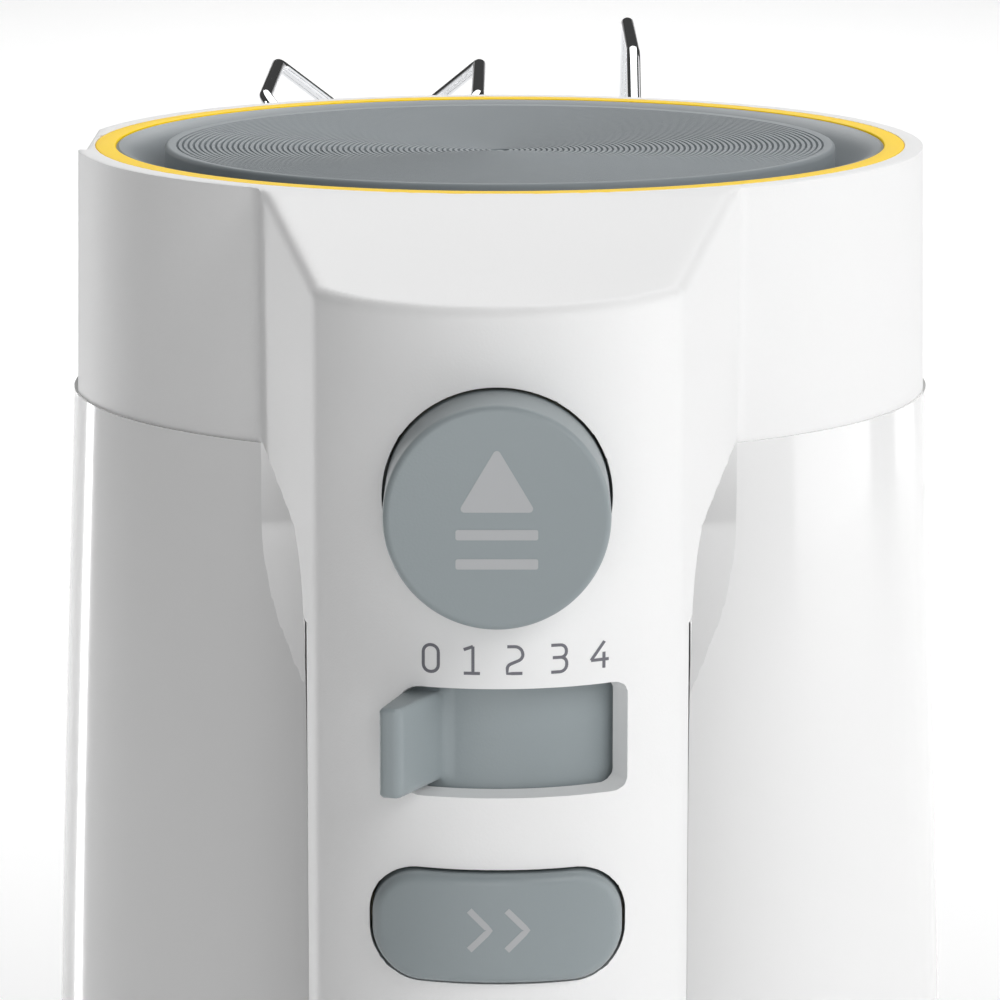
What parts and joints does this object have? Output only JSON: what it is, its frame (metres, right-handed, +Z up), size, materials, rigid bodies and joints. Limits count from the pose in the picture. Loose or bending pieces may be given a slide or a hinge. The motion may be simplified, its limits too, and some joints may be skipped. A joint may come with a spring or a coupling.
{
  "type": "hand mixer",
  "caption": "Hand mixer standing on its heel, with a drum body, loop handle, grooved nose disc, speed slider, eject and turbo buttons, and wire beaters.",
  "frame": {"origin": "centre of the flat heel pad's resting face, where the motor axis meets it", "axes": "+Z up along the motor axis to the nose ring, +Y along the beaters away from the handle, +X to the right seen from the handle's side"},
  "size_m": [0.0972, 0.2869, 0.19],
  "materials": {
    "white_plastic": "moulded, satin gloss",
    "yellow_plastic": "satin gloss",
    "dark_plastic": "matte",
    "grey_plastic": "satin, turned grooves on the disc",
    "rubber": "matte",
    "steel": "ground",
    "lamination": "stamped and stacked",
    "resin": "self-lubricating moulding",
    "brass": "turned",
    "copper": "enamelled copper",
    "carbon": "pressed",
    "board": "glass-fibre board",
    "chrome": "bright plated"
  },
  "bodies": {
    "housing": {"motor_housing": "white_plastic", "upper_housing": "white_plastic", "grip_shell": "white_plastic", "accent_ring": "yellow_plastic", "nose_bowl": "dark_plastic", "nose_disc": "grey_plastic", "heel_pad": "rubber", "cord_gland": "rubber", "socket_block": "white_plastic", "socket_rings": "dark_plastic", "housing_screws": "steel", "gearbox_frame": "resin", "spindle_bushes": "brass", "nose_bush": "brass", "front_bush": "brass", "rear_bush": "brass", "rear_bracket": "steel", "motor_bolts": "steel", "motor_stator": "lamination", "field_coils": "copper", "brush_plate": "dark_plastic", "brush_holders": "brass", "carbon_brushes": "carbon", "switch_board": "board", "slider_guide": "resin", "switch_carrier": "resin", "turbo_switch": "carbon"},
    "rotor": {"motor_shaft": "steel", "armature_core": "lamination", "armature_winding": "copper", "commutator": "copper", "cooling_fan": "dark_plastic", "drive_worm": "brass"},
    "left_spindle": {"left_spindle": "steel", "left_worm_gear": "resin"},
    "right_spindle": {"right_spindle": "steel", "right_worm_gear": "resin"},
    "left_beater": {"left_beater_shaft": "chrome", "left_beater_hub": "chrome", "left_beater_wires": "chrome"},
    "right_beater": {"right_beater_shaft": "chrome", "right_beater_hub": "chrome", "right_beater_wires": "chrome"},
    "eject_button": {"eject_button": "grey_plastic", "ejector_fork": "resin", "eject_spring": "steel"},
    "speed_slider": {"speed_slider": "grey_plastic", "speed_wiper": "copper"},
    "turbo_button": {"turbo_button": "grey_plastic", "turbo_spring": "steel"}
  },
  "joints": [
    {"name": "motor_spin", "type": "hinge", "parent": "housing", "child": "rotor", "pos_m": [0, 0, 0.1], "axis": [0, 0, 1], "continuous": true},
    {"name": "left_spindle_spin", "type": "hinge", "parent": "housing", "child": "left_spindle", "pos_m": [-0.017, 0, 0.168], "axis": [0, 1, 0], "continuous": true},
    {"name": "right_spindle_spin", "type": "hinge", "parent": "housing", "child": "right_spindle", "pos_m": [0.017, 0, 0.168], "axis": [0, 1, 0], "continuous": true},
    {"name": "left_beater_slide", "type": "slide", "parent": "left_spindle", "child": "left_beater", "axis": [0, 1, 0], "range_m": [0, 0.006]},
    {"name": "right_beater_slide", "type": "slide", "parent": "right_spindle", "child": "right_beater", "axis": [0, 1, 0], "range_m": [0, 0.006]},
    {"name": "eject_press", "type": "slide", "parent": "housing", "child": "eject_button", "axis": [0, 1, 0], "range_m": [0, 0.006], "stiffness_N_per_m": 500, "springref_m": -0.002, "deforming": ["eject_spring"]},
    {"name": "speed_select", "type": "hinge", "parent": "housing", "child": "speed_slider", "pos_m": [0, -0.0818, 0.1461], "axis": [0, 0, 1], "range_deg": [0, 54]},
    {"name": "turbo_press", "type": "slide", "parent": "housing", "child": "turbo_button", "axis": [0, 1, 0], "range_m": [0, 0.002], "stiffness_N_per_m": 300, "springref_m": -0.001, "deforming": ["turbo_spring"]}
  ],
  "couplings": [
    {"joint": "left_spindle_spin", "follows": "motor_spin", "ratio": 0.033333},
    {"joint": "right_spindle_spin", "follows": "motor_spin", "ratio": -0.033333},
    {"joint": "left_beater_slide", "follows": "eject_press", "ratio": 1},
    {"joint": "right_beater_slide", "follows": "eject_press", "ratio": 1}
  ]
}
